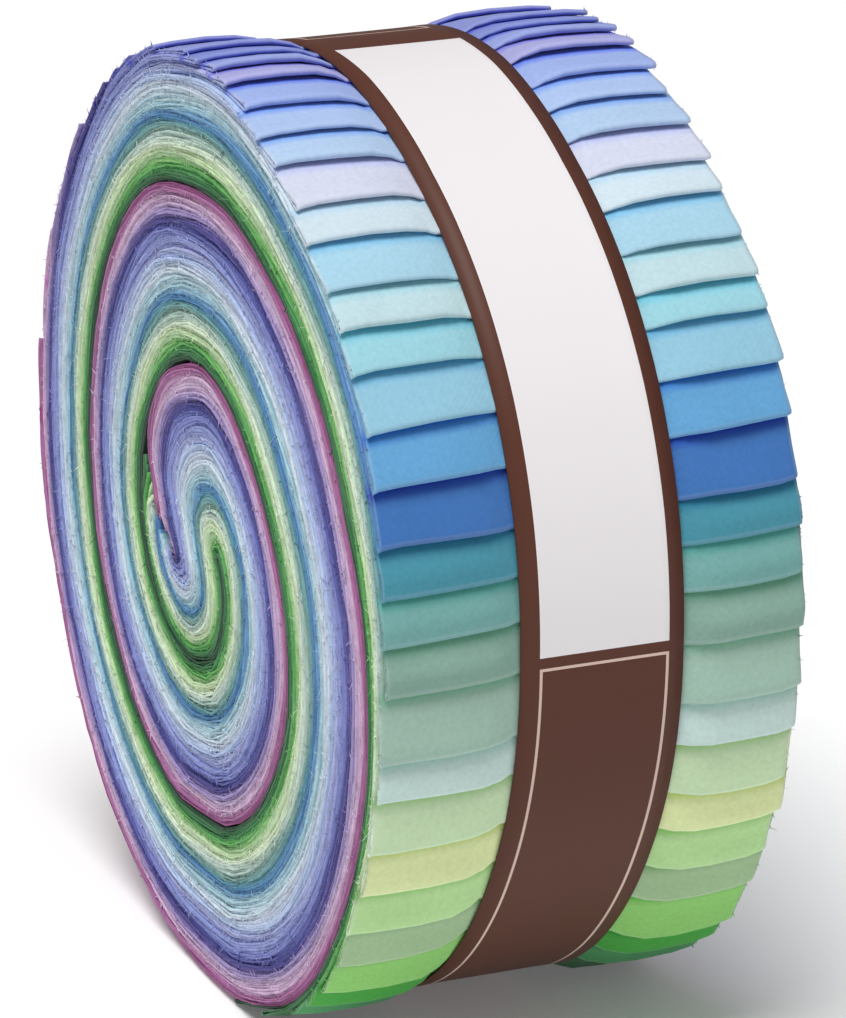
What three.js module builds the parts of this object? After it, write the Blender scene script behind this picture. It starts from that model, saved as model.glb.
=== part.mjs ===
// A roll of 41 folded fabric strips, wound as one stack into a spiral and held by a paper band.
// Millimetres. The winding axis runs along X, the wound face that shows looks along -X,
// +Z is up and the roll rests on a small flat spot at z = 0.
import * as THREE from "three";

// Driving sizes
const stripWidth = 63.5; // 2 1/2 inch strips
const rollRadius = 71.2; // to the top of the folds
const sheetThick = 1.0; // a folded strip, two layers of cloth
const clearance = 0.3; // between neighbouring pieces
const foldLap = 2.2; // how far a fold reaches over the next strip
const rampLength = 5.5; // arc over which a strip climbs to its fold
const facetLength = 5; // longest facet along a strip's level stretches
const noseRound = 0.15; // how far the fold's corners are taken back
const flatDrop = 0.6; // depth of the flat spot under the round outline
const bandWidth = 24.4;
const bandShift = 0.4; // the band sits a little off the middle
const bandThick = 1.0;
const bandSteps = 90;
const bandClearance = 0.4; // from the cloth, so that the ring's facets stay clear of it
const waistDepth = 1.6; // how far the band draws the cloth in
const waistFlat = 12.9; // half width of the drawn-in floor, just clear of the band's edges
const waistTop = 22.5; // where the cloth is back at its full radius
const coreInset = 0.4; // the wound core's faces lie this far inside the strips' edges
const slitWidth = 0.5; // parting between two turns of the stack
const rimStep = 6; // degrees between the core's rim points
const slitStep = 12; // degrees between the points of the parting

// Levels, outside in: a strip at its fold, the same strip under its neighbour, the core
const levelDrop = sheetThick + clearance;
const lapRadius = rollRadius - levelDrop;
const coreRadius = lapRadius - levelDrop;
const axisHeight = rollRadius - flatDrop;

const clothRoughness = 0.95;
const paperRoughness = 0.5;
const coreColour = 0x8f9fd0; // the wound edges, seen together
const paperColour = 0x55372e; // dark brown

// The folded ends around the rim, in the order in which they overlap. fold: clock angle of the fold in
// degrees, 0 at the top, 90 toward -Y, 180 at the bottom. slide: the strip's shift along X in mm.
const strips = [
  { fold: -3, slide: 0.2, colour: 0x7480c8 },
  { fold: 1.2, slide: -0.3, colour: 0x7784cc },
  { fold: 5, slide: 0.5, colour: 0x8591d4 },
  { fold: 10, slide: 0.1, colour: 0xa8a8dc },
  { fold: 16, slide: 0.4, colour: 0x9cb0e6 },
  { fold: 21.3, slide: -0.4, colour: 0xa8c0e8 },
  { fold: 26.8, slide: 0, colour: 0xaec8e8 },
  { fold: 33.1, slide: 0.2, colour: 0xd0d4e8 },
  { fold: 38.2, slide: -0.3, colour: 0xcadce6 },
  { fold: 44.6, slide: 0.1, colour: 0xa2cce0 },
  { fold: 49.7, slide: 0.5, colour: 0xbad6dc },
  { fold: 54.2, slide: 0.3, colour: 0x96ccd8 },
  { fold: 60.6, slide: 0.6, colour: 0x8ec0d6 },
  { fold: 67, slide: 0.4, colour: 0x5e9ece },
  { fold: 73.9, slide: 0, colour: 0x386eb2 },
  { fold: 79.3, slide: 0.1, colour: 0x428ea2 },
  { fold: 84.7, slide: -0.1, colour: 0x72a8a4 },
  { fold: 90.8, slide: 0.3, colour: 0x84a89a },
  { fold: 98.4, slide: -0.2, colour: 0xa0c0b0 },
  { fold: 103.7, slide: -0.1, colour: 0xc8e0da },
  { fold: 110.6, slide: -0.5, colour: 0xcae4ba },
  { fold: 116.7, slide: 0.1, colour: 0xe2eeb0 },
  { fold: 123.2, slide: -0.2, colour: 0xbae29e },
  { fold: 130, slide: 0.2, colour: 0xa2c296 },
  { fold: 138.5, slide: 0.4, colour: 0x90d070 },
  { fold: 144, slide: 0, colour: 0x50b246 },
  { fold: 150.5, slide: 0.3, colour: 0x45985c },
  { fold: 160, slide: -0.2, colour: 0x3c9a48 },
  { fold: 170, slide: 0.1, colour: 0x23602f },
  { fold: 268, slide: 0, colour: 0x8b2a6a },
  { fold: 277, slide: -0.3, colour: 0xa8488c },
  { fold: 284, slide: 0.3, colour: 0xb45c9a },
  { fold: 290.5, slide: -0.1, colour: 0xbc74ac },
  { fold: 297, slide: 0.4, colour: 0xc890c0 },
  { fold: 303, slide: 0, colour: 0xc8a0cc },
  { fold: 309, slide: -0.4, colour: 0xb09acc },
  { fold: 315, slide: 0.2, colour: 0x5c50a8 },
  { fold: 321.5, slide: -0.2, colour: 0x3c3690 },
  { fold: 328.5, slide: 0.3, colour: 0x353090 },
  { fold: 337, slide: 0, colour: 0x4642a0 },
  { fold: 347, slide: -0.3, colour: 0x6a6cc0 },
];

// The parting between the turns, from the rim inward and against the clock, to the hairpin at the
// centre. clock: degrees, running past zero turn after turn. radius: mm.
const parting = [
  { clock: 180, radius: 66.2 },
  { clock: 135, radius: 65.6 },
  { clock: 90, radius: 63.8 },
  { clock: 45, radius: 59 },
  { clock: 0, radius: 52.8 },
  { clock: -90, radius: 47.5 },
  { clock: -180, radius: 43.8 },
  { clock: -270, radius: 34.2 },
  { clock: -360, radius: 25.8 },
  { clock: -405, radius: 25.3 },
  { clock: -450, radius: 25.2 },
  { clock: -495, radius: 23.6 },
  { clock: -540, radius: 19.4 },
  { clock: -565, radius: 15.7 },
  { clock: -588, radius: 12 },
  { clock: -614, radius: 6.9 },
];
const partingMouth = 190; // clock angle at which the parting opens in the rim

const radians = THREE.MathUtils.degToRad;

// Degrees of the rim that an arc of so many mm takes.
function arcDegrees(length) {
  return THREE.MathUtils.radToDeg(length / rollRadius);
}

// Half the clock angle that the flat spot takes.
const flatHalf = THREE.MathUtils.radToDeg(Math.acos(axisHeight / rollRadius));

// The flat spot draws every level in by the same share: a circle becomes a chord at the bottom.
function flatShare(clock) {
  const below = -Math.cos(radians(clock));
  return below > 0 ? Math.min(1, axisHeight / (rollRadius * below)) : 1;
}

// A point of a cross-section, from clock angle and radius, as [y, z] about the winding axis.
function clockPoint([clock, radius]) {
  const reach = radius * flatShare(clock);
  return [-reach * Math.sin(radians(clock)), axisHeight + reach * Math.cos(radians(clock))];
}

// How far the cloth is drawn in at a place x along the roll.
function waistAt(x) {
  const away = Math.abs(x - bandShift);
  return waistDepth * THREE.MathUtils.clamp((waistTop - away) / (waistTop - waistFlat), 0, 1);
}

// A closed solid through cross-sections { x, points }, all with the same number of [y, z] points,
// which run clockwise as seen from -X. The two ends are flat. endFaces: the triangles that fill an end.
function loft(sections, endFaces) {
  const count = sections[0].points.length;
  const positions = [];
  const faces = [];
  for (const { x, points } of sections) {
    for (const [y, z] of points) positions.push(x, y, z);
  }
  for (let s = 0; s + 1 < sections.length; s += 1) {
    for (let p = 0; p < count; p += 1) {
      const a = s * count + p;
      const b = s * count + ((p + 1) % count);
      faces.push(a, b, a + count, b, b + count, a + count);
    }
  }
  const lastStart = (sections.length - 1) * count;
  for (const [a, b, c] of endFaces) {
    faces.push(c, b, a, lastStart + a, lastStart + b, lastStart + c);
  }
  const geometry = new THREE.BufferGeometry();
  geometry.setAttribute("position", new THREE.Float32BufferAttribute(positions, 3));
  geometry.setIndex(faces);
  geometry.computeVertexNormals();
  return geometry;
}

// Places along X at which a piece is sectioned: its two ends and the corners of the waist.
function stations(halfLength, slide) {
  return [
    -halfLength + slide,
    bandShift - waistTop,
    bandShift - waistFlat,
    bandShift + waistFlat,
    bandShift + waistTop,
    halfLength + slide,
  ];
}

function clothPiece(name, colour, geometry) {
  const material = new THREE.MeshStandardMaterial({ color: colour, roughness: clothRoughness, metalness: 0 });
  const mesh = new THREE.Mesh(geometry, material);
  mesh.name = name;
  return mesh;
}

// Clock angles between which a strip climbs from its lapped level to the level of its fold.
function climbOf(previousFold, fold) {
  const free = arcDegrees(clearance);
  const start = previousFold + free;
  return [start, Math.min(start + arcDegrees(rampLength), fold - arcDegrees(foldLap) - free)];
}

// Points along a level stretch, with its two ends.
function levelStretch(from, to, radius) {
  const facets = Math.ceil((to - from) / arcDegrees(facetLength));
  return Array.from({ length: facets + 1 }, (_, i) => [from + ((to - from) * i) / facets, radius]);
}

// Upper side of one folded end as [clock, radius]: level under its neighbour from where that one has
// climbed clear, a climb over the next strip, and the level stretch before its own fold.
function stripSpine(folds) {
  const [, neighbourTop] = climbOf(folds.beforeLast, folds.last);
  const [climbStart, climbEnd] = climbOf(folds.last, folds.own);
  const lapped = levelStretch(neighbourTop + arcDegrees(clearance), climbStart, lapRadius);
  const halfway = [(climbStart + climbEnd) / 2, (lapRadius + rollRadius) / 2];
  return [...lapped, halfway, ...levelStretch(climbEnd, folds.own - arcDegrees(sheetThick / 2), rollRadius)];
}

// The whole outline of a folded end: its upper side, three points round the fold, its underside.
function stripOutline(spine, fold) {
  const corner = fold - arcDegrees(noseRound);
  const nose = [
    [corner, rollRadius - noseRound],
    [fold, rollRadius - sheetThick / 2],
    [corner, rollRadius - sheetThick + noseRound],
  ];
  const underside = spine.map(([clock, radius]) => [clock, radius - sheetThick]).reverse();
  return [...spine, ...nose, ...underside];
}

// An end of a strip is filled across its thickness, from the upper side to the underside.
function stripEndFaces(spineCount) {
  const last = 2 * spineCount + 2;
  const faces = [];
  for (let i = 0; i + 1 < spineCount; i += 1) {
    faces.push([i, i + 1, last - i - 1], [i, last - i - 1, last - i]);
  }
  const edge = spineCount - 1;
  return [...faces, [edge, edge + 1, edge + 2], [edge, edge + 2, edge + 3], [edge, edge + 3, edge + 4]];
}

function stripEnd(strip, folds, name) {
  const spine = stripSpine(folds);
  const outline = stripOutline(spine, strip.fold);
  const sections = stations(stripWidth / 2, strip.slide).map((x) => ({
    x,
    points: outline.map(([clock, radius]) => clockPoint([clock, radius - waistAt(x)])),
  }));
  return clothPiece(name, strip.colour, loft(sections, stripEndFaces(spine.length)));
}

// The middle line of the parting: even steps along a smooth curve through the table's rows.
function partingCurve() {
  const rows = parting.map(({ clock, radius }) => new THREE.Vector3(clock, radius, 0));
  const curve = new THREE.CatmullRomCurve3(rows, false, "centripetal");
  const turned = parting[0].clock - parting[parting.length - 1].clock;
  return curve.getSpacedPoints(Math.round(turned / slitStep)).map(({ x, y }) => [x, y]);
}

// Triangles that fill a clockwise outline of [y, z] points, in the outline's own order.
function filledOutline(points) {
  const outline = points.map(([y, z]) => new THREE.Vector2(-y, z));
  return THREE.ShapeUtils.triangulateShape(outline, []).map((corners) => {
    const counter = THREE.ShapeUtils.area(corners.map((i) => outline[i])) > 0;
    return counter ? corners.reverse() : corners;
  });
}

// The core's rim, once round the clock from the parting's mouth, with no point inside the flat spot.
function coreRim() {
  const mouthHalf = arcDegrees(slitWidth / 2);
  const start = partingMouth + mouthHalf;
  const flatStart = 540 - flatHalf;
  const facets = Math.ceil((flatStart - start) / rimStep);
  const rim = [];
  for (let i = 0; i <= facets; i += 1) {
    rim.push([start + ((flatStart - start) * i) / facets, coreRadius]);
  }
  return [...rim, [540 + flatHalf, coreRadius], [partingMouth + 360 - mouthHalf, coreRadius]];
}

// The stack of strips wound inside the folded ends: round the rim, in along one side of the parting
// and out again along the other. Only the rim follows the waist.
function woundCore() {
  const rim = coreRim();
  const middle = partingCurve();
  const outerSide = middle.map(([clock, radius]) => [clock, radius + slitWidth / 2]);
  const innerSide = middle.map(([clock, radius]) => [clock, radius - slitWidth / 2]).reverse();
  const sides = [...outerSide, ...innerSide].map(clockPoint);
  const sections = stations(stripWidth / 2 - coreInset, 0).map((x) => ({
    x,
    points: [...rim.map(([clock, radius]) => clockPoint([clock, radius - waistAt(x)])), ...sides],
  }));
  return clothPiece("wound_core", coreColour, loft(sections, filledOutline(sections[0].points)));
}

// The paper band: a closed ring, lofted round the roll from rectangular sections.
function paperBand() {
  const inside = rollRadius - waistDepth + bandClearance;
  const profile = [
    [bandShift - bandWidth / 2, inside],
    [bandShift - bandWidth / 2, inside + bandThick],
    [bandShift + bandWidth / 2, inside + bandThick],
    [bandShift + bandWidth / 2, inside],
  ];
  const positions = [];
  const faces = [];
  const corners = profile.length;
  for (let step = 0; step < bandSteps; step += 1) {
    for (const [x, radius] of profile) {
      positions.push(x, ...clockPoint([(360 * step) / bandSteps, radius]));
    }
    const next = (step + 1) % bandSteps;
    for (let c = 0; c < corners; c += 1) {
      const a = step * corners + c;
      const b = step * corners + ((c + 1) % corners);
      const d = next * corners + c;
      const e = next * corners + ((c + 1) % corners);
      faces.push(a, d, b, b, d, e);
    }
  }
  const geometry = new THREE.BufferGeometry();
  geometry.setAttribute("position", new THREE.Float32BufferAttribute(positions, 3));
  geometry.setIndex(faces);
  geometry.computeVertexNormals();
  const material = new THREE.MeshStandardMaterial({ color: paperColour, roughness: paperRoughness, metalness: 0 });
  const mesh = new THREE.Mesh(geometry, material);
  mesh.name = "paper_band";
  return mesh;
}

// Fold angle of a strip by its place in the table, running on past either end of it.
function foldAngle(index) {
  const count = strips.length;
  return strips[(index + count) % count].fold + 360 * Math.floor(index / count);
}

const roll = new THREE.Group();
roll.add(woundCore());
strips.forEach((strip, index) => {
  const folds = { beforeLast: foldAngle(index - 2), last: foldAngle(index - 1), own: strip.fold };
  roll.add(stripEnd(strip, folds, `strip_${String(index + 1).padStart(2, "0")}`));
});
roll.add(paperBand());

export default roll;
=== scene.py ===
import math

import bpy
import numpy as np
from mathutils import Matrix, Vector


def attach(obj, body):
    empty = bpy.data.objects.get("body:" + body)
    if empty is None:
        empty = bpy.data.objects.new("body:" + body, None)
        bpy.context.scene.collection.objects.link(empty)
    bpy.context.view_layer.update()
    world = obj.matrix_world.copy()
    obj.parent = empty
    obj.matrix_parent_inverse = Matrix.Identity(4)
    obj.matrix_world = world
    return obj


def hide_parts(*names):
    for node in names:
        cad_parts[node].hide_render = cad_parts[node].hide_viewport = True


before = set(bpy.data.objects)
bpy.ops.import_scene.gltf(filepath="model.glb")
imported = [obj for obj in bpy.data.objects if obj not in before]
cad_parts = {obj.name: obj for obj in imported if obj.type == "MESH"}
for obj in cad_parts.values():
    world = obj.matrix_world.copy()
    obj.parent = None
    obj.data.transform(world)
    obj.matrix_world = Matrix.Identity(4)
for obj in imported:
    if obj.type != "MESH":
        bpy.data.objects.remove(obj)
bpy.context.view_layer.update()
millimetre = 0.001

# The whole roll, in mm and degrees. Clock angles start at the top and grow clockwise as the face
# toward -X is seen; the winding angle goes on past 360 as the stack winds outwards.
roll = {
    "axisHeight": 70.6,
    "halfWidth": 31.75,
    "rimRadius": 70.75,  # middle of each strip at its fold
    "pitch": 0.645,  # one folded strip in the stack
    "restRadius": 71.75,  # the rim that the floor flattens
    "pressWithin": 0.5,  # radians to each side of straight down
    "firstFold": 268.0,  # clock angle of the innermost fold on the outermost turn
    "lastTurn": 550.0,  # winding angle at which nothing of the stack is left
    "smoothing": 5.0,  # degrees over which the steps of the parting are evened out
    "pull": (50.0, 71.0),  # radii at which the band and the slack are not felt, and fully felt
    "settle": 0.7,
    "settleAngle": 9.0,
    "seed": 11,
}

# The parting between two turns, in mm and winding angles: a thin gap, wider round a clock angle
# on the inner turns, closed where the outermost turn ends.
parting = {
    "gap": 0.2,
    "widens": 5.5,  # so many times
    "widestAt": 252,  # clock angle
    "wideReach": 58.0,
    "innerTurns": -20,  # the turns below this count as inner ones
    "innerFade": 15.0,
    "closesAt": 140,
    "closeFade": 12.0,
    "tableTo": -170,  # the table of radii holds up to here
}

# Where the lines across the stack stand, in winding angles.
winding = {
    "first": -620.0,
    "woundFrom": -249.0,
    "woundStep": 5.0,
    "curlStep": 15.0,  # what each row of the curl counts for
    "fineTo": -240.0,  # the stack doubles back inside this
    "beyond": 10,  # past the last turn
    "pastFold": 6,  # how far beyond its fold a strip's line is known
    "cuts": 8,  # lines drawn for each one given
}

# One row for each strip, in the order of the CAD nodes: clock angle of its fold, slide along +X
# (mm), colour as it is seen in even light.
strips = [
    (-3, 0.2, "8792d2"),
    (1.2, -0.3, "7f8cd0"),
    (5, 0.5, "93a0da"),
    (10, 0.1, "a8a8dc"),
    (16, 0.4, "9cb0e6"),
    (21.3, -0.4, "a8c0e8"),
    (26.8, 0, "aec8e8"),
    (33.1, 0.2, "d0d4e8"),
    (38.2, -0.3, "cadce6"),
    (44.6, 0.1, "a2cce0"),
    (49.7, 0.5, "bad6dc"),
    (54.2, 0.3, "96ccd8"),
    (60.6, 0.6, "8ec0d6"),
    (67, 0.4, "5e9ece"),
    (73.9, 0, "386eb2"),
    (79.3, 0.1, "428ea2"),
    (84.7, -0.1, "72a8a4"),
    (90.8, 0.3, "84a89a"),
    (98.4, -0.2, "a0c0b0"),
    (103.7, -0.1, "c8e0da"),
    (110.6, -0.5, "cae4ba"),
    (116.7, 0.1, "e2eeb0"),
    (123.2, -0.2, "bae29e"),
    (130, 0.2, "a2c296"),
    (138.5, 0.4, "90d070"),
    (144, 0, "42a63c"),
    (150.5, 0.3, "45985c"),
    (160, -0.2, "226834"),
    (170, 0.1, "103822"),
    (268, 0, "8c3e76"),
    (278.5, -0.3, "a85c98"),
    (287, 0.3, "c48cbc"),
    (295, -0.1, "d0a4ca"),
    (302, 0.4, "d2acd0"),
    (309, 0, "c8a6d0"),
    (316, -0.4, "9080bc"),
    (322, 0.2, "7a68b0"),
    (327, -0.2, "2a2a84"),
    (332, 0.3, "2c2d88"),
    (338, 0, "4e52a8"),
    (347, -0.3, "868cd0"),
]

# How closely the strips lie on the outermost turn at a winding angle, as a share of the pitch:
# pressed together toward its end, where few are left.
packing = [
    (170, 0.95),
    (200, 0.93),
    (240, 0.88),
    (300, 0.92),
    (340, 0.97),
    (360, 1.05),
    (390, 1.12),
    (420, 1.13),
    (432, 1.06),
    (450, 0.76),
    (465, 0.62),
    (480, 0.56),
    (530, 0.5),
]

# Radius of the parting between two turns at a winding angle, inside the outermost turn.
innerParting = [
    (-180, 45.4),
    (-210, 42.2),
    (-240, 39.0),
    (-270, 33.3),
    (-300, 27.6),
    (-330, 26.3),
    (-360, 25.8),
    (-375, 25.4),
    (-392, 24.9),
    (-405, 24.4),
    (-418, 24.0),
    (-432, 24.3),
    (-446, 25.3),
    (-460, 25.2),
    (-480, 24.4),
    (-495, 23.6),
    (-510, 22.6),
    (-540, 20.6),
    (-565, 17.2),
    (-588, 13.3),
    (-614, 8.8),
]

# Lines across the stack where it doubles back at the middle, from its cut ends outwards: the
# side that lies outermost on the rim, then the other side, as (right, up) on the face in mm, then
# the share of the strips that reach so far, counted from that other side.
curl = [
    (-22.4, 6.6, -23.6, 6.9, 0.05),
    (-20.4, 2.2, -24.0, 2.6, 0.12),
    (-18.8, -1.6, -24.9, -2.6, 0.30),
    (-16.6, -4.4, -23.1, -8.4, 0.46),
    (-14.8, -5.6, -18.9, -14.5, 0.60),
    (-13.6, -5.9, -12.8, -18.8, 0.72),
    (-12.9, -5.7, -5.7, -20.7, 0.83),
    (-12.7, -5.2, 1.6, -19.7, 0.92),
    (-13.2, -4.7, 7.3, -15.2, 1),
    (-15.2, -3.9, 9.7, -9.8, 1),
    (-17.6, -2.0, 9.4, -5.4, 1),
    (-19.4, 1.4, 8.6, -2.9, 1),
    (-21.6, 6.9, 8.2, -2.2, 1),
    (-20.0, 13.4, 8.0, -1.9, 1),
    (-13.5, 20.8, 8.0, -1.85, 1),
]
hairpin = [  # winding angle of the outer side while the inner side still turns on one point
    (-360, 8.1, -1.9),
    (-337.5, 8.2, -2.0),
    (-315, 8.3, -2.1),
    (-292.5, 8.35, -2.2),
    (-270, 8.4, -2.3),
    (-254, 8.45, -2.4),
]

# How far the rim lies inside its full radius (mm): drawn in under the band, by the distance from
# the band's middle, and rounded off a little toward the faces, by the distance from the roll's.
bandDrop = [(0, 1.5), (12.7, 1.5), (14.3, 0.75), (17, 0.3), (20, 0.08), (23, 0)]
faceDrop = [(24, 0), (28, 0.1), (31.75, 0.45)]
bandMiddle = {"centre": -0.7, "lean": 2.05}  # mm along X; it leans to and fro by lean * sin(clock)

# Slack of the outer turn at a clock angle (mm): fuller at the top and low on the camera's side.
slack = [
    (0, 0.7),
    (10, 0.6),
    (20, 0),
    (30, -0.35),
    (40, -0.1),
    (50, 0.2),
    (60, 0.4),
    (75, 0.25),
    (90, -0.15),
    (105, 0),
    (120, 0),
    (130, 0.3),
    (142, 0.8),
    (152, 0.95),
    (160, 0.3),
    (170, 0),
    (183, -0.3),
    (192, -0.4),
    (205, 0),
    (225, 0.2),
    (245, 0.4),
    (258, 0.5),
    (270, 0.3),
    (280, 0.15),
    (290, -0.2),
    (305, -0.7),
    (320, -0.8),
    (333, -0.2),
    (345, 0.7),
]

stripCount = len(strips)
foldAngle = np.array([a if a >= roll["firstFold"] else a + 360 for a, slide, hue in strips])
outermostFirst = np.argsort(foldAngle)
level = np.empty(stripCount)  # how many strips lie under the middle of this one in the stack
level[outermostFirst] = stripCount - np.arange(stripCount) - 0.5


# The radius of the parting is rim radius - strips still in the stack * pitch * packing on the
# outermost turn, from the table further in, and one whole stack more than a turn earlier beyond
# it. The steps are evened out by a bell-shaped mean.
def partingTable():
    angles = np.arange(winding["first"], roll["lastTurn"] + 2 * winding["beyond"], 1.0)
    table = np.array(innerParting)[::-1]
    still = np.interp(
        angles + 360,
        np.append(foldAngle[outermostFirst], roll["lastTurn"]),
        np.append(level[outermostFirst], -0.5),
    )
    packed = roll["pitch"] * np.interp([angles, angles + 360], *np.array(packing).T)
    rim = roll["rimRadius"] - still * packed[1]
    inside = np.interp(angles, table[:, 0], table[:, 1])
    radius = np.where(angles < parting["tableTo"], inside, rim)
    back = np.interp(angles - 360, angles, radius) + stripCount * packed[0]
    radius = np.where(angles > roll["firstFold"], back, radius)
    reach = int(3 * roll["smoothing"])
    bell = np.exp(-0.5 * (np.arange(-reach, reach + 1) / roll["smoothing"]) ** 2)
    padded = np.pad(radius, reach, mode="reflect", reflect_type="odd")
    return angles, np.convolve(padded, bell / bell.sum(), mode="valid")


partingAngles, partingRadii = partingTable()


# Half of the gap at the parting: gap * (1 + widens * bell over the clock angle * smooth step on
# the inner turns) * smooth step to nothing at the last turn.
def halfGap(angle):
    side = np.exp(-((((angle % 360) - parting["widestAt"]) / parting["wideReach"]) ** 2))
    inner = 1 / (1 + np.exp((angle - parting["innerTurns"]) / parting["innerFade"]))
    fades = 1 / (1 + np.exp((angle - parting["closesAt"]) / parting["closeFade"]))
    return 0.5 * parting["gap"] * fades * (1 + parting["widens"] * side * inner)


# The two sides of the stack at a winding angle, as radii: the parting there, and the parting one
# turn further in, each less half the gap.
def stackSides(angle):
    inside = np.interp(angle - 360, partingAngles, partingRadii) + halfGap(angle - 360)
    outside = np.interp(angle, partingAngles, partingRadii) - halfGap(angle)
    return outside, inside


# Right and up on the face: radius * sine and radius * cosine of the clock angle.
def onFace(radius, angle):
    a = np.radians(angle)
    return np.stack([radius * np.sin(a), radius * np.cos(a)], axis=-1)


# A Catmull-Rom curve through rows of numbers, each gap cut into the given number of steps.
def smoothRows(rows, steps):
    ends = np.vstack([2 * rows[:1] - rows[1:2], rows, 2 * rows[-1:] - rows[-2:-1]])
    t = (np.arange(steps) / steps)[None, :, None]
    a, b, c, d = (ends[k : k + len(rows) - 1, None, :] for k in range(4))
    curve = 0.5 * (
        2 * b
        + (c - a) * t
        + (2 * a - 5 * b + 4 * c - d) * t**2
        + (3 * b - a - 3 * c + d) * t**3
    )
    return np.vstack([curve.reshape(-1, rows.shape[1]), rows[-1:]])


curlEnd = hairpin[-1][0]
curlStart = curlEnd - winding["curlStep"] * (len(curl) + len(hairpin) - 1)


# Every line across the stack, from the cut ends to beyond the last fold: outer point, inner
# point, and a running number that is the winding angle on the outer turns.
def crossLines():
    first = np.array(curl)
    reached = first[:, 2:4] + (first[:, :2] - first[:, 2:4]) / first[:, 4:]
    first = np.hstack([reached, first[:, 2:4]])
    turning = np.array(hairpin)
    turnOuter = onFace(stackSides(turning[:, 0])[0], turning[:, 0])
    last = roll["lastTurn"] + winding["beyond"]
    wound = np.arange(winding["woundFrom"], last, winding["woundStep"])
    outside, inside = stackSides(wound)
    rows = np.vstack(
        [
            first,
            np.hstack([turnOuter, turning[:, 1:]]),
            np.hstack([onFace(outside, wound), onFace(inside, wound)]),
        ]
    )
    count = len(first) + len(turning)
    curled = curlEnd - winding["curlStep"] * np.arange(count - 1, -1, -1)
    number = np.concatenate([curled, wound])
    dense = smoothRows(np.hstack([rows, number[:, None]]), winding["cuts"])
    return dense[:, :2], dense[:, 2:4], dense[:, 4]


outerSide, innerSide, windingNumber = crossLines()


# Smooth noise in one direction: a sum of sines with falling strength and seeded phases.
def waver(position, wavelength, rng):
    total = np.zeros_like(position, dtype=float)
    for octave in range(3):
        phase = rng.uniform(0, 2 * math.pi)
        stretch = rng.uniform(0.8, 1.25) * wavelength / (1.9**octave)
        total += 0.6**octave * np.sin(2 * math.pi * position / stretch + phase)
    return total / 1.6


# Where the band's middle runs at a clock angle (radians).
def bandCentre(clock):
    return bandMiddle["centre"] + bandMiddle["lean"] * np.sin(clock)


# Change of the outer radius: slack at the clock angle less the drops at the place across, all
# read from their tables with straight lines between.
def rimShape(clock, x):
    table = np.array(slack)
    loose = np.interp(np.degrees(clock) % 360, table[:, 0], table[:, 1], period=360)
    held = np.interp(np.abs(x - bandCentre(clock)), *np.array(bandDrop).T)
    return loose - held - np.interp(np.abs(x), *np.array(faceDrop).T)


# Radius on the floor's side: grown by settle * exp(-(angle from straight down / settle angle)^2),
# then cut by axis height / (rest radius * cosine of that angle), so that the rim's foot is level.
def settled(radius, clock, share):
    below = np.pi - np.abs((clock + np.pi) % (2 * np.pi) - np.pi)
    sag = roll["settle"] * np.exp(-((np.degrees(below) / roll["settleAngle"]) ** 2))
    press = roll["axisHeight"] / (roll["restRadius"] * np.maximum(np.cos(below), 0.5))
    foot = below < roll["pressWithin"]
    return (radius + sag * share) * np.where(foot, np.minimum(1.0, press), 1.0)


# Puts points (right, up on the face, x across) into the room in metres: the radius changes by
# the rim's shape, by a share that falls to nothing inwards, and settles on the floor.
def intoRoom(right, up, x):
    radius = np.maximum(np.hypot(right, up), 1e-6)
    clock = np.arctan2(right, up)
    least, full = roll["pull"]
    share = np.clip((radius - least) / (full - least), 0, 1.1)
    moved = settled(radius + rimShape(clock, x) * share, clock, share)
    y = -moved * np.sin(clock)
    z = np.maximum(roll["axisHeight"] + moved * np.cos(clock), 0)
    return np.stack([x, y, z], axis=-1) * millimetre


# Rows of four corners from four arrays of point numbers.
def quads(a, b, c, d):
    return np.stack([a.ravel(), b.ravel(), c.ravel(), d.ravel()], axis=1)


# A closed thin shell between two grids of points (rows, columns, 3), with a UV map in mm/100.
# Each side is quads between neighbours; the four borders are quads between the sides.
def shellObject(name, front, back, uv):
    rows, columns = front.shape[:2]
    index = np.arange(rows * columns).reshape(rows, columns)
    behind = index + rows * columns
    faces = [
        quads(index[:-1, :-1], index[:-1, 1:], index[1:, 1:], index[1:, :-1]),
        quads(behind[:-1, :-1], behind[1:, :-1], behind[1:, 1:], behind[:-1, 1:]),
        quads(index[:-1, 0], index[1:, 0], behind[1:, 0], behind[:-1, 0]),
        quads(index[:-1, -1], behind[:-1, -1], behind[1:, -1], index[1:, -1]),
        quads(index[0, :-1], behind[0, :-1], behind[0, 1:], index[0, 1:]),
        quads(index[-1, :-1], index[-1, 1:], behind[-1, 1:], behind[-1, :-1]),
    ]
    points = np.vstack([front.reshape(-1, 3), back.reshape(-1, 3)])
    coordinates = np.vstack([uv.reshape(-1, 2), uv.reshape(-1, 2)])
    return meshObject(name, points, np.vstack(faces), coordinates)


# A mesh object from arrays of points and quads (or triangles), with a UV for each point.
def meshObject(name, points, faces, uv=None, smooth=True):
    sides = faces.shape[1]
    mesh = bpy.data.meshes.new(name)
    mesh.vertices.add(len(points))
    mesh.vertices.foreach_set("co", points.astype(np.float32).ravel())
    mesh.loops.add(faces.size)
    mesh.loops.foreach_set("vertex_index", faces.astype(np.int32).ravel())
    mesh.polygons.add(len(faces))
    starts = np.arange(0, faces.size, sides, dtype=np.int32)
    mesh.polygons.foreach_set("loop_start", starts)
    mesh.polygons.foreach_set("use_smooth", np.full(len(faces), smooth))
    if uv is not None:
        layer = mesh.uv_layers.new(name="sizeMap")
        layer.data.foreach_set("uv", uv[faces.ravel()].astype(np.float32).ravel())
    mesh.update(calc_edges=True)
    mesh.validate()
    made = bpy.data.objects.new(name, mesh)
    bpy.context.scene.collection.objects.link(made)
    return made


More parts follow.
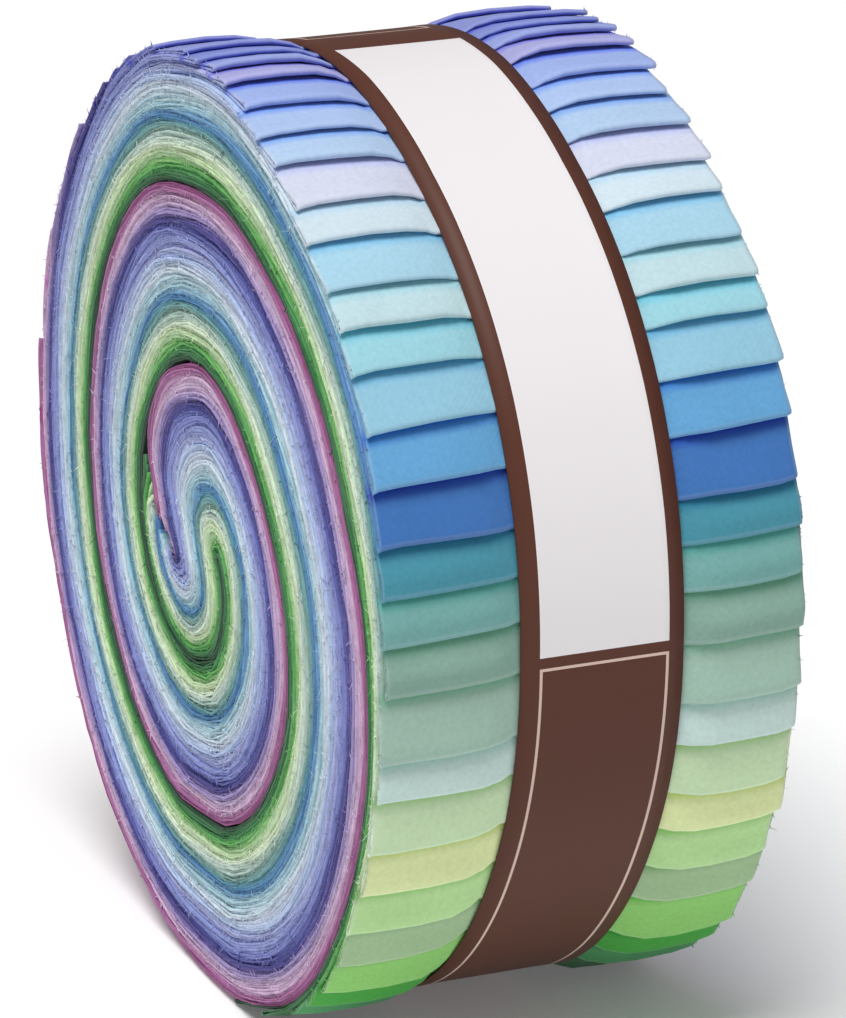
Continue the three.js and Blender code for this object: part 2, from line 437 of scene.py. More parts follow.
# sRGB hex to linear RGBA: value / 12.92 near black, else ((value + 0.055) / 1.055) ^ 2.4.
def linear(hexColour):
    values = [int(hexColour[k : k + 2], 16) / 255 for k in (0, 2, 4)]
    return [v / 12.92 if v <= 0.04045 else ((v + 0.055) / 1.055) ** 2.4 for v in values] + [1.0]


# Adds one node, sets its properties and its inputs; an input given as a node takes that node's
# first output, one given as a socket takes the socket.
def addNode(tree, kind, inputs=None, **properties):
    node = tree.nodes.new("ShaderNode" + kind)
    for key, value in properties.items():
        setattr(node, key, value)
    for key, value in (inputs or {}).items():
        if isinstance(value, bpy.types.Node):
            value = value.outputs[0]
        if isinstance(value, bpy.types.NodeSocket):
            tree.links.new(value, node.inputs[key])
        else:
            node.inputs[key].default_value = value
    return node


# An empty node material and its tree.
def newMaterial(name):
    made = bpy.data.materials.new(name)
    made.use_nodes = True
    made.node_tree.nodes.clear()
    return made, made.node_tree


# The folded strips, in mm unless a note says otherwise.
cloth = {
    "columns": [0, 12.7, 14.4, 17.5, 22.5, 28.5, 31, 31.75],  # to each side of the middle
    "curlStep": 2.2,  # between stations where the stack doubles back
    "woundStep": 6.0,
    "rimStep": 1.0,
    "rimReach": 27.0,
    "rimCoarse": [1.5, 3, 6, 10, 15, 20, 25],  # stations of the lower layer, which doesn't show
    "rimFade": (24, 4),  # how far from the fold the rim's own waves hold, and how fast they end
    "layerHalf": 0.235,  # half of one layer, in strips
    "layerOffset": 0.25,  # from the strip's middle to the layer's, in strips
    "foldBulge": 1.6,  # how much the fold's upper layer lifts, in strips
    "bulgeSpread": (0.7, 1.2),
    "foldLoosen": 0.8,  # how much its lower layer lifts
    "loosenSpread": (0.6, 1.3),
    "foldSlack": [  # share of both, by clock angle
        (0, 0.45),
        (12, 1),
        (180, 1),
        (190, 0.3),
        (262, 0.05),
        (276, 0.3),
        (345, 0.4),
        (360, 0.45),
    ],
    "foldReach": 4.0,
    "noseLength": 0.75,
    "noseTurn": [72, 48, 24, 0, -24, -48, -72],  # degrees round the fold
    "freeFrom": 12.7,  # the band holds the fold down as far out as this
    "freeOver": 4.0,
    "freeLoss": 0.35,  # of the lift, toward the cut edges
    "edgeWaver": 0.22,
    "edgeWave": 45,
    "endRagged": 6.0,
    "foldSkew": 0.4,
    "foldTilt": [  # mm along for each mm across, by clock angle
        (30, 0),
        (60, -0.036),
        (105, -0.036),
        (117, -0.055),
        (130, -0.08),
        (142, -0.03),
        (155, 0),
    ],
    "tiltFrom": 11,  # the place across that tilting leaves where it is
    "foldBow": 0.3,
    "foldWander": (0.12, 24),
    "shiftReach": 12.0,  # how far from the fold its shift is felt
    "cornerRounding": 0.35,
    "cornerFrom": 30.0,
    "creased": (15, 16, 17),  # strips, counted from 0, whose fold has a second crease beside it
    "creaseAt": 2.3,
    "creaseFade": 3.0,
    "creaseLeast": 0.25,
    "slideInside": 0.4,  # share of a strip's slide that is left on the inner turns
    "leanEnds": 31,  # the strips follow the band's lean less and less toward this
    "leanOver": 14,
    "crowding": 0.3,  # how unevenly the layers lie, in strips
    "crowdingWaves": ((8.3, 61.0), (4.7, 37.0)),  # lengths in strips and in degrees
    "relief": 0.07,
    "reliefWaves": (17, 31),
    "reliefSlants": (0.15, 0.1),
}


# Distances from the fold at which a layer gets its stations: fine on the rim, then coarser, then
# finer again where the stack doubles back.
def layerStations(length, curlLength, fine):
    near = np.arange(cloth["noseLength"], cloth["rimReach"], cloth["rimStep"])
    if not fine:
        near = np.array([cloth["noseLength"], *cloth["rimCoarse"]])
    middleEnd = length - curlLength
    count = max(2, int(round((middleEnd - cloth["rimReach"]) / cloth["woundStep"])))
    middle = np.linspace(cloth["rimReach"], middleEnd, count + 1)
    last = np.linspace(middleEnd, length, int(round(curlLength / cloth["curlStep"])) + 1)[1:]
    return np.concatenate([near, middle, last])


# Uneven packing of the wound layers: the same for neighbours, so that none crosses another. Two
# slanting waves over the place in the stack and the winding angle, none at the stack's sides.
def crowding(place, angle):
    (placeA, angleA), (placeB, angleB) = cloth["crowdingWaves"]
    wide = np.sin(2 * math.pi * (place / placeA + angle / angleA))
    narrow = np.sin(2 * math.pi * (place / placeB - angle / angleB) + 2.0)
    fades = np.clip(np.minimum(place, stripCount - place) / 3, 0, 1)
    return cloth["crowding"] * fades * (wide + 0.5 * narrow)


# How far a fold runs ahead of its angle (mm) at places across the roll: tilted, bowed, rounded
# back at its two corners, and wandering a little.
def foldShift(number, x):
    rng = np.random.default_rng(roll["seed"] + 500 + number)
    across = x / roll["halfWidth"]
    tilt = np.interp(foldAngle[number] % 360, *np.array(cloth["foldTilt"]).T)
    skew = rng.uniform(-1, 1) * cloth["foldSkew"] * across + tilt * (x - cloth["tiltFrom"])
    bow = rng.uniform(-1, 1) * cloth["foldBow"] * (across**2 - 0.4)
    toCorner = (np.abs(x) - cloth["cornerFrom"]) / (roll["halfWidth"] - cloth["cornerFrom"])
    corner = cloth["cornerRounding"] * np.clip(toCorner, 0, 1) ** 2 * np.sign(x)
    size, wave = cloth["foldWander"]
    return skew + bow - corner + size * waver(x, wave, rng)


# One strip folded once across: its centre line in (distance from the fold, offset in strips)
# runs up the upper layer to the fold, round it as a half ellipse and back along the lower layer.
# The ribbon is that line swept across the roll and thickened by half a layer each way.
def clothStrip(number):
    # its middle line on the face, from the cut ends to a little beyond the fold
    slide = strips[number][1]
    rng = np.random.default_rng(roll["seed"] + number)
    ends = foldAngle[number]
    share = level[number] / stripCount
    spine = innerSide + share * (outerSide - innerSide)
    present = np.array(curl)[:, 4]
    start = curlStart + winding["curlStep"] * np.interp(share, present, np.arange(len(curl)))
    inUse = (windingNumber >= start) & (windingNumber <= ends + winding["pastFold"])
    spine, wound = spine[inUse], windingNumber[inUse]
    outer, inner = outerSide[inUse], innerSide[inUse]
    along = np.concatenate([[0], np.cumsum(np.linalg.norm(np.diff(spine, axis=0), axis=1))])
    length = np.interp(ends, wound, along)
    curlLength = np.interp(winding["fineTo"], wound, along)

    # the centre line: stations along both layers and round the fold, and how far they lift
    upper = layerStations(length - rng.uniform(0, cloth["endRagged"]), curlLength, True)[::-1]
    lower = layerStations(length - rng.uniform(0, cloth["endRagged"]), curlLength, False)
    turn = np.radians(cloth["noseTurn"])
    nose, off, half = cloth["noseLength"], cloth["layerOffset"], cloth["layerHalf"]
    halfMm = half * roll["pitch"]
    tight = np.interp(ends % 360, *np.array(cloth["foldSlack"]).T)
    tight = tight / min(np.interp(ends, *np.array(packing).T), 1)
    lift = cloth["foldBulge"] * rng.uniform(*cloth["bulgeSpread"]) * tight
    loosen = cloth["foldLoosen"] * rng.uniform(*cloth["loosenSpread"]) * tight
    distance = np.concatenate([upper, nose - (nose - halfMm) * np.cos(turn), lower])
    fromFold = np.concatenate([upper, np.full(len(turn), nose), lower])
    faded = np.exp(-((fromFold / cloth["foldReach"]) ** 2))
    if number in cloth["creased"]:
        beyond = np.maximum(fromFold - cloth["creaseAt"], 0)
        least = cloth["creaseLeast"]
        before = np.clip(least + (1 - least) * fromFold / cloth["creaseAt"], 0, 1)
        faded = np.exp(-((beyond / cloth["creaseFade"]) ** 2)) * before
    flat = np.concatenate([np.ones(len(upper)), np.sin(turn), -np.ones(len(lower))])
    outward = np.concatenate([np.zeros(len(upper)), np.cos(turn), np.zeros(len(lower))])
    rise = faded * (lift * (1 + flat) + loosen * (1 - flat)) / 2

    # places across, where the fold is free of the band, and the fold line of the strip above
    onSide = np.array(cloth["columns"])
    x = np.concatenate([-onSide[:0:-1], onSide])
    across = x / roll["halfWidth"]
    free = np.clip((np.abs(x) - cloth["freeFrom"]) / cloth["freeOver"], 0, 1)
    free = free * (1 - cloth["freeLoss"] * np.abs(across) ** 10)
    shift = foldShift(number, x)[None, :]
    order = int(np.flatnonzero(outermostFirst == number)[0])
    above = outermostFirst[max(order - 1, 0)]
    coverLine = np.interp(foldAngle[above], wound, along) + foldShift(above, x)

    # how the strip follows the band's lean, and the waver of its cut edges and of its rim
    here = np.interp(length - distance, along, wound)
    pulled = np.clip((cloth["leanEnds"] - np.abs(x)) / cloth["leanOver"], 0, 1)
    wide = x[None, :] + bandCentre(np.radians(here))[:, None] * pulled[None, :]
    run = np.concatenate([-upper, np.zeros(len(turn)), lower])
    edgeA = cloth["edgeWaver"] * waver(run + length, cloth["edgeWave"], rng)
    edgeB = cloth["edgeWaver"] * waver(run - length, cloth["edgeWave"], rng)
    edge = np.abs(across)[None, :] ** 8
    (slantA, slantB), (waveA, waveB) = cloth["reliefSlants"], cloth["reliefWaves"]
    reliefNoise = cloth["relief"] * waver(run[:, None] + slantA * wide, waveA, rng)
    reliefNoise = reliefNoise * waver(wide + slantB * run[:, None], waveB, rng)
    rimEnds, rimFade = cloth["rimFade"]
    nearRim = np.exp(-np.maximum(distance - rimEnds, 0) / rimFade)[:, None]
    kept = cloth["slideInside"]

    # both faces of the cloth, put into the room
    sides, pastFold = [], []
    for sign in (1, -1):
        s = distance - sign * outward * halfMm
        v = flat[:, None] * (off + sign * half) + rise[:, None] * free[None, :]
        reach = np.exp(-((np.maximum(s, 0) / cloth["shiftReach"]) ** 2))[:, None]
        place = length - s[:, None] + shift * reach
        outerRight = np.interp(place, along, outer[:, 0])
        outerUp = np.interp(place, along, outer[:, 1])
        innerRight = np.interp(place, along, inner[:, 0])
        innerUp = np.interp(place, along, inner[:, 1])
        f = level[number] + v + reliefNoise * nearRim
        f = (f + crowding(f, here[:, None]) * (1 - nearRim)) / stripCount
        right = innerRight + f * (outerRight - innerRight)
        up = innerUp + f * (outerUp - innerUp)
        side = np.where(x[None, :] < 0, edgeA[:, None], edgeB[:, None]) * edge
        sides.append(intoRoom(right, up, wide + slide * (kept + (1 - kept) * nearRim) + side))
        pastFold.append((place - coverLine).ravel())
    uv = np.stack(np.broadcast_arrays(run[:, None], wide), axis=-1) / 100
    made = shellObject(f"folded_strip_{number + 1:02d}", sides[0], sides[1], uv)
    layer = made.data.attributes.new("pastFold", "FLOAT", "POINT")
    layer.data.foreach_set("value", np.concatenate(pastFold).astype(np.float32))
    cutLines = [(sides[0][:, column] + sides[1][:, column]) / 2 for column in (0, -1)]
    return made, length, cutLines


# Quilting cotton: plain woven from fine yarns, dyed one colour, pressed. Matt, with a faint
# sheen at a glancing angle and a weave just seen close to. Its raw cut edges are fuzzy and swallow
# light, so they look deeper in colour and streaked lighter and darker.
clothLook = {
    "roughness": 0.9,
    "sheen": 0.08,
    "yarn": 0.5,  # mm; the real 0.35 mm drawn coarser so that it survives at this size
    "weaveDepth": 0.1,
    "mottle": 0.035,
    "mottleCount": 9.0,  # in 100 mm, so blotches of about 11 mm
    "grain": 0.05,
    "grainCount": 120.0,  # specks of about 0.8 mm
    "streak": (0.8, 1.24),  # darkest and lightest on the cut edge
    "streakCount": 45.0,  # about 2 mm long
    "cutFrom": (31.5, 31.72),  # mm from the middle; the strip's colour turns to its cut edge's
    "mixReach": 0.85,  # how many strips away frayed yarn still tints the cut edge
    "lift": (0.3, 0.7, 0.3),  # cut edges brighter than this to this go paler by up to this share
    "frayAndHighlight": 0.12,  # how much paler a thin line before the cut edge is: fray and painted highlight
    "edgeLineFrom": (31.25, 31.5),
    "foldHighlight": [(60, 0.03), (100, 0.1), (150, 0.13)],  # painted highlight: paler along the fold, by clock angle
    "foldHighlightTo": (0.3, 0.9),  # mm from the fold
    "shadow": [(60, 0.02), (95, 0.2), (110, 0.34), (150, 0.34)],  # beside the fold that lies above
    "shadowWidth": 2.8,  # mm
    "shadowTint": (1.9, 1.25),  # painted shade: to so many mm from that fold, a deeper tint by this power
    "pale": "eef1f8",
}


# The strips' colours as their cut edges show them: each a mean of its neighbours' in the stack,
# weighted by a bell over the distance, then the light ones mixed toward pale, as fuzz makes them.
def mixedDyes():
    own = np.array([linear(hue)[:3] for fold, slide, hue in strips])
    apart = level[:, None] - level[None, :]
    weight = np.exp(-0.5 * (apart / clothLook["mixReach"]) ** 2)
    mean = weight @ own / weight.sum(axis=1, keepdims=True)
    low, high, most = clothLook["lift"]
    lift = most * np.clip((mean.mean(axis=1, keepdims=True) - low) / (high - low), 0, 1)
    return mean + (np.array(linear(clothLook["pale"])[:3]) - mean) * lift


edgeDyes = mixedDyes()


# Colour = dye * blotches * specks * (1 - shadow) * (dye / its strongest channel) ^ power, the last
# two a painted shadow and a painted deeper tint beside the fold that lies above, where light is
# thrown to and fro between the strips. At the cut edge it is the mixed dye, streaked. A thin line
# before that (frayed yarn, with a painted highlight of stray light) and a painted highlight
# along the fold are mixed toward pale. The weave is the product of two sines, as a bump.
def clothMaterial(name, colour, number):
    made, tree = newMaterial(name)
    look = clothLook
    place = addNode(tree, "UVMap", uv_map="sizeMap")
    parts = addNode(tree, "SeparateXYZ", {0: place})
    waves = []
    for axis in (0, 1):
        turns = {0: parts.outputs[axis], 1: 100 * math.pi / look["yarn"]}
        turns = addNode(tree, "Math", turns, operation="MULTIPLY")
        waves.append(addNode(tree, "Math", {0: turns}, operation="SINE"))
    weave = addNode(tree, "Math", {0: waves[0], 1: waves[1]}, operation="MULTIPLY")
    side = addNode(tree, "Math", {0: parts.outputs[1]}, operation="ABSOLUTE")
    cutLeast, cutMost = (edge / 100 for edge in look["cutFrom"])
    cut = addNode(tree, "MapRange", {0: side, 1: cutLeast, 2: cutMost, 3: 0.0, 4: 1.0})
    layers = (  # scale of the noise, its detail, least and most, where it shows
        (look["mottleCount"], 3.0, 1 - look["mottle"], 1 + look["mottle"], None),
        (look["grainCount"], 2.0, 1 - look["grain"], 1 + look["grain"], None),
        (look["streakCount"], 4.0, *look["streak"], cut),
    )
    frayed = [*edgeDyes[number], 1.0]
    blend = {0: cut, 6: linear(colour), 7: frayed}
    tone = addNode(tree, "Mix", blend, data_type="RGBA").outputs[2]
    for order, (scale, detail, least, most, where) in enumerate(layers):
        seed = 1.7 * number + 5.3 * order
        settings = {"Vector": place, "W": seed, "Scale": scale, "Detail": detail}
        spots = addNode(tree, "TexNoise", settings, noise_dimensions="4D")
        shade = addNode(tree, "MapRange", {0: spots, 1: 0.3, 2: 0.7, 3: least, 4: most})
        if where is not None:
            blend = {0: where, 2: 1.0, 3: shade}
            shade = addNode(tree, "Mix", blend, data_type="FLOAT")
        tone = addNode(tree, "VectorMath", {0: tone, "Scale": shade}, operation="SCALE")
    # Painted shadow beside the fold that lies above: darker up to shadowWidth mm past it, by clock
    # angle.
    fromAbove = addNode(tree, "Attribute", attribute_name="pastFold").outputs["Fac"]
    fromAbove = addNode(tree, "Math", {0: fromAbove}, operation="ABSOLUTE")
    clock = foldAngle[number] - 360
    foldHighlight = float(np.interp(clock, *np.array(look["foldHighlight"]).T))
    least = 1 - float(np.interp(clock, *np.array(look["shadow"]).T))
    fades = {0: fromAbove, 1: 0.0, 2: look["shadowWidth"], 3: least, 4: 1.0}
    shade = addNode(tree, "MapRange", fades)
    tone = addNode(tree, "VectorMath", {0: tone, "Scale": shade}, operation="SCALE")
    # Painted shade: beside that fold the colour is also multiplied toward a deeper tint of the dye.
    dye = linear(colour)[:3]
    shadowTintTo, power = look["shadowTint"]
    shadowTintColour = [(channel / max(dye)) ** power for channel in dye] + [1.0]
    depth = addNode(tree, "MapRange", {0: fromAbove, 1: 0.0, 2: shadowTintTo, 3: 1.0, 4: 0.0})
    blend = {0: depth, 6: tone, 7: shadowTintColour}
    tone = addNode(tree, "Mix", blend, data_type="RGBA", blend_type="MULTIPLY").outputs[2]
    # Painted highlight: a pale line along the fold's crest, stronger by clock angle.
    nearFold = addNode(tree, "Math", {0: parts.outputs[0]}, operation="ABSOLUTE")
    foldLeast, foldMost = (edge / 100 for edge in look["foldHighlightTo"])
    fades = {0: nearFold, 1: foldLeast, 2: foldMost, 3: foldHighlight, 4: 0.0}
    nearFold = addNode(tree, "MapRange", fades)
    # A thin line before the cut edge goes paler: frayed yarn and a painted highlight of stray
    # light. It is joined with the fold's painted highlight, then mixed toward pale.
    edgeLineLeast, edgeLineMost = (edge / 100 for edge in look["edgeLineFrom"])
    fades = {0: side, 1: edgeLineLeast, 2: edgeLineMost, 3: 0.0, 4: look["frayAndHighlight"]}
    frayAndHighlight = addNode(tree, "MapRange", fades)
    uncut = addNode(tree, "Math", {0: 1.0, 1: cut}, operation="SUBTRACT")
    frayAndHighlight = addNode(tree, "Math", {0: frayAndHighlight, 1: uncut}, operation="MULTIPLY")
    frayAndHighlight = addNode(tree, "Math", {0: frayAndHighlight, 1: nearFold}, operation="MAXIMUM")
    blend = {0: frayAndHighlight, 6: tone, 7: linear(look["pale"])}
    mixed = addNode(tree, "Mix", blend, data_type="RGBA").outputs[2]
    depth = {"Height": weave, "Strength": look["weaveDepth"], "Distance": 0.0002}
    settings = {
        "Base Color": mixed,
        "Roughness": look["roughness"],
        "Sheen Weight": look["sheen"],
        "Sheen Roughness": 0.5,
        "Normal": addNode(tree, "Bump", depth),
    }
    addNode(tree, "OutputMaterial", {0: addNode(tree, "BsdfPrincipled", settings)})
    return made


lengths = []
cutEdges = []
for number in range(stripCount):
    strip, stripLength, cutLines = clothStrip(number)
    cutEdges.append(cutLines)
    name = f"{number + 1:02d}"
    strip.data.materials.append(clothMaterial(f"cotton_{name}", strips[number][2], number))
    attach(strip, "root")
    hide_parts(f"strip_{name}", "wound_core")
    lengths.append(stripLength)
print("strips", stripCount, "paths", round(min(lengths)), "to", round(max(lengths)), "mm")


# Frayed yarn along the cut edges, in mm: short tufts that blur the layers and longer loose hairs.
fray = {
    "tufts": {
        "counts": (34000, 18000),  # on the face toward -X, on the other
        "bends": 0,
        "length": 0.35,
        "least": 0.4,
        "longest": 1.5,
        "thick": (0.16, 0.38),
        "lay": 0.45,  # along the edge
        "stand": 0.12,  # out of the face
        "spread": 0.9,  # across the layers
        "pale": (0.0, 0.22),
        "shade": (0.78, 1.2),
    },
    "hairs": {
        "counts": (2600, 1800),
        "bends": 1,
        "length": 0.7,
        "least": 0.5,
        "longest": 3.2,
        "thick": (0.06, 0.12),
        "lay": 1.0,
        "stand": 0.35,
        "spread": 0.5,
        "pale": (0.2, 0.7),
        "shade": (0.95, 1.1),
    },
    "sparse": (2.0, 0.15),  # so many strips beside the parting keep this share of their yarn
    "layLeast": 0.3,  # the least share of "lay", either way along the edge
    "sunk": 0.08,  # how deep a strand's root lies in its edge
    "kneeAt": 0.55,  # share of the length
    "kneeThick": 0.8,  # share of the thickness at the root
    "bend": (0.45, 0.6),  # how much the rest turns at random, and back toward the face
    "dustPale": (0.85, 0.88, 0.93),  # linear colour that worn yarn fades to
    "darkKeeps": 0.3,  # dark yarn hardly fades: this and the dye's mean times the random share
    "seed": 5,
}


# Each strand is a three-sided spike, of one length or of two with a bend between. Its root is a
# random place on a cut edge, its way is tangent * lay + outward * stand + across * spread with
# random weights, its colour the strip's, lighter or darker and mixed toward white.
def frayStrands(name, side, kind):
    look = fray[kind]
    count = look["counts"][side]
    rng = np.random.default_rng(fray["seed"] + side + 2 * look["bends"])
    lines = [cutEdges[number][side] for number in range(stripCount)]
    starts = np.vstack([line[:-1] for line in lines])
    steps = np.vstack([np.diff(line, axis=0) for line in lines])
    dyes = np.vstack(
        [np.tile(edgeDyes[k], (len(line) - 1, 1)) for k, line in enumerate(lines)]
    )
    size = np.linalg.norm(steps, axis=1)
    atParting = np.abs(level - stripCount / 2) > stripCount / 2 - fray["sparse"][0]
    bare = np.repeat(np.where(atParting, fray["sparse"][1], 1), [len(line) - 1 for line in lines])
    weights = size * bare
    pick = rng.choice(len(starts), count, p=weights / weights.sum())
    turns, sinks = fray["bend"]
    along = steps[pick] / np.maximum(size[pick, None], 1e-9)
    outward = np.array([-1.0 if side == 0 else 1.0, 0, 0])
    across = np.cross(along, outward)
    sense = rng.choice([-1.0, 1.0], (count, 1)) * rng.uniform(fray["layLeast"], 1, (count, 1))
    rise = np.abs(rng.normal(0, 1, (count, 1))) * look["stand"]
    way = along * sense * look["lay"] + outward * rise
    way = way + across * rng.normal(0, 1, (count, 1)) * look["spread"]
    way /= np.linalg.norm(way, axis=1, keepdims=True)
    later = way + rng.normal(0, turns, (count, 3)) - outward * rise * sinks
    later /= np.linalg.norm(later, axis=1, keepdims=True)
    long = rng.exponential(look["length"], (count, 1)) + look["least"]
    long = np.minimum(long, look["longest"]) * millimetre
    root = starts[pick] + steps[pick] * rng.uniform(0, 1, (count, 1))
    root = root - outward * fray["sunk"] * millimetre
    knee = root + way * long * fray["kneeAt"]
    tip = knee + (later if look["bends"] else way) * long * (1 - fray["kneeAt"])
    helper = np.where(np.abs(way[:, :1]) < 0.7, [[1.0, 0, 0]], [[0, 1.0, 0]])
    u = np.cross(way, helper)
    u /= np.linalg.norm(u, axis=1, keepdims=True)
    w = np.cross(way, u)
    thick = rng.uniform(*look["thick"], (count, 1)) * millimetre / 2
    rings = []
    for centre, size in ((root, 1.0), (knee, fray["kneeThick"]))[: look["bends"] + 1]:
        for corner in range(3):
            a = 2 * math.pi * corner / 3
            rings.append(centre + (u * math.cos(a) + w * math.sin(a)) * thick * size)
    points = np.stack(rings + [tip], axis=1)
    points[:, :, 2] -= np.minimum(points[:, :, 2].min(axis=1, keepdims=True), 0)
    perStrand = points.shape[1]
    pattern = [(0, 2, 1)]
    for a, b in ((0, 1), (1, 2), (2, 0)):
        if look["bends"]:
            pattern += [(a, b, b + 3), (a, b + 3, a + 3)]
        pattern.append((perStrand - 4 + a, perStrand - 4 + b, perStrand - 1))
    base = np.arange(count)[:, None, None] * perStrand
    faces = (base + np.array(pattern)[None, :, :]).reshape(-1, 3)
    made = meshObject(name, points.reshape(-1, 3), faces)
    pale = rng.uniform(*look["pale"], (count, 1))
    pale *= fray["darkKeeps"] + dyes[pick].mean(axis=1, keepdims=True)
    tint = dyes[pick] * rng.uniform(*look["shade"], (count, 1))
    tint = np.clip(tint * (1 - pale) + pale * np.array([fray["dustPale"]]), 0, 1)
    rgba = np.repeat(np.hstack([tint, np.ones((count, 1))]), perStrand, axis=0)
    layer = made.data.color_attributes.new("yarnColour", "FLOAT_COLOR", "POINT")
    layer.data.foreach_set("color", rgba.astype(np.float32).ravel())
    return made


# Loose cotton yarn: fine and soft, so only matt colour, each strand's own, with a little sheen.
def fibreMaterial():
    made, tree = newMaterial("frayed_cotton")
    colour = addNode(tree, "VertexColor", layer_name="yarnColour")
    settings = {"Base Color": colour, "Roughness": 0.95, "Sheen Weight": 0.1}
    addNode(tree, "OutputMaterial", {0: addNode(tree, "BsdfPrincipled", settings)})
    return made


fibreLook = fibreMaterial()
for kind in ("tufts", "hairs"):
    for side, where in enumerate(("facing", "behind")):
        strands = frayStrands(f"{kind}_{where}", side, kind)
        strands.data.materials.append(fibreLook)
        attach(strands, "root")
        print(kind, where, len(strands.data.polygons), "triangles")


# The paper band, in mm and clock angles; margins run from its edges to the panel printed on it.
band = {
    "inner": 69.55,
    "thick": 0.28,
    "width": 24.7,
    "steps": 240,
    "columns": 9,
    "margins": (2.9, 2.2),
    "panelFrom": 0.4,
    "panelTo": 89.9,
    "lineFrom": 91.2,
    "lineTo": 352,
    "lineWidth": 0.42,
    "edgeLift": 0.12,  # how much the edges of the paper stand off
}


# The band is a ring: inside radius, then its thickness outwards, with the slack of the turn it
# holds. The same settling and pressing as the cloth brings it to the floor.
def paperBand():
    clock = np.linspace(0, 360, band["steps"] + 1)
    middle = bandCentre(np.radians(clock))
    across = np.linspace(-0.5, 0.5, band["columns"]) * band["width"]
    x = middle[:, None] + across[None, :]
    edge = np.abs(across / across[-1])[None, :] ** 6
    loose = np.interp(clock, *np.array(slack + [(360, slack[0][1])]).T)[:, None]
    a = np.radians(clock)[:, None]
    grids = []
    for radius in (band["inner"] + band["thick"], band["inner"]):
        r = radius + band["edgeLift"] * edge + loose
        r = settled(r + np.zeros_like(x), a, 1.0)
        height = np.maximum(roll["axisHeight"] + r * np.cos(a), 0)
        points = np.stack([x, -r * np.sin(a), height], axis=-1)
        grids.append(points * millimetre)
    return clock, across, grids


# A closed ring from an outer and an inner grid whose last row repeats the first: quads between
# neighbours on both, and between them at both edges. The UV gives turn and place across, mm/100.
def ringObject(name, outer, inner, uv):
    rows, columns = outer.shape[0] - 1, outer.shape[1]
    index = np.arange(rows * columns).reshape(rows, columns)
    index = np.vstack([index, index[:1]])
    behind = index + rows * columns
    faces = np.vstack(
        [
            quads(index[:-1, :-1], index[:-1, 1:], index[1:, 1:], index[1:, :-1]),
            quads(behind[:-1, :-1], behind[1:, :-1], behind[1:, 1:], behind[:-1, 1:]),
            quads(index[:-1, 0], index[1:, 0], behind[1:, 0], behind[:-1, 0]),
            quads(index[:-1, -1], behind[:-1, -1], behind[1:, -1], index[1:, -1]),
        ]
    )
    points = np.vstack([outer[:-1].reshape(-1, 3), inner[:-1].reshape(-1, 3)])
    made = meshObject(name, points, faces)
    cell = np.repeat(np.arange(rows), columns - 1)
    column = np.tile(np.arange(columns - 1), rows)
    turn, wide = uv
    flat = np.stack(
        [
            np.stack([turn[cell], wide[column]], axis=1),
            np.stack([turn[cell], wide[column + 1]], axis=1),
            np.stack([turn[cell + 1], wide[column + 1]], axis=1),
            np.stack([turn[cell + 1], wide[column]], axis=1),
        ],
        axis=1,
    )
    borders = []
    for place, ahead in ((wide[0], (0, 1, 1, 0)), (wide[-1], (0, 0, 1, 1))):
        corners = [np.stack([turn[k : rows + k], np.full(rows, place)], axis=1) for k in ahead]
        borders.append(np.stack(corners, axis=1))
    layer = made.data.uv_layers.new(name="sizeMap")
    allUv = np.concatenate([flat, flat[:, [0, 3, 2, 1], :], *borders]).reshape(-1, 2)
    layer.data.foreach_set("uv", allUv.astype(np.float32).ravel())
    return made


# Coated label paper: smooth, printed dark brown with one pale panel and a fine pale line round
# the brown part. Slightly glossy, so that it takes a soft highlight.
bandLook = {
    "brown": "5a3428",
    "panel": "eae6e8",
    "line": "d9bfb2",
    "roughness": 0.5,
    "specular": 0.22,
}


# 1 inside a box of (turn, across), else 0: four comparisons multiplied.
def insideBox(tree, parts, turns, widths):
    result = None
    for socket, (low, high) in zip(parts.outputs, (turns, widths)):
        for edge, test in ((low, "GREATER_THAN"), (high, "LESS_THAN")):
            node = addNode(tree, "Math", {0: socket, 1: edge}, operation=test)
            if result is not None:
                node = addNode(tree, "Math", {0: result, 1: node}, operation="MULTIPLY")
            result = node
    return result


# Brown, with the line where the larger box is but not the smaller, and the panel in its own box.
def paperMaterial():
    made, tree = newMaterial("printed_paper")
    place = addNode(tree, "UVMap", uv_map="sizeMap")
    parts = addNode(tree, "SeparateXYZ", {0: place})
    half = band["width"] / 2
    low, high = (-half + band["margins"][0]) / 100, (half - band["margins"][1]) / 100
    line = band["lineWidth"] / 100
    lineTurn = band["lineWidth"] / (2 * math.pi * band["inner"])
    panelTurns = (band["panelFrom"] / 360, band["panelTo"] / 360)
    start, end = band["lineFrom"] / 360, band["lineTo"] / 360
    panel = insideBox(tree, parts, panelTurns, (low, high))
    outerBox = insideBox(tree, parts, (start, end), (low, high))
    innerBox = insideBox(
        tree, parts, (start + lineTurn, end - lineTurn), (low + line, high - line)
    )
    ink = addNode(tree, "Math", {0: outerBox, 1: innerBox}, operation="SUBTRACT")
    blend = {0: ink, 6: linear(bandLook["brown"]), 7: linear(bandLook["line"])}
    colour = addNode(tree, "Mix", blend, data_type="RGBA").outputs[2]
    blend = {0: panel, 6: colour, 7: linear(bandLook["panel"])}
    colour = addNode(tree, "Mix", blend, data_type="RGBA").outputs[2]
    settings = {
        "Base Color": colour,
        "Roughness": bandLook["roughness"],
        "Specular IOR Level": bandLook["specular"],
    }
    addNode(tree, "OutputMaterial", {0: addNode(tree, "BsdfPrincipled", settings)})
    return made


clockSteps, acrossSteps, bandGrids = paperBand()
bandPiece = ringObject(
    "paper_sleeve", bandGrids[0], bandGrids[1], (clockSteps / 360, acrossSteps / 100)
)
bandPiece.data.materials.append(paperMaterial())
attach(bandPiece, "root")
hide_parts("paper_band")
print("band", len(bandPiece.data.polygons), "faces")


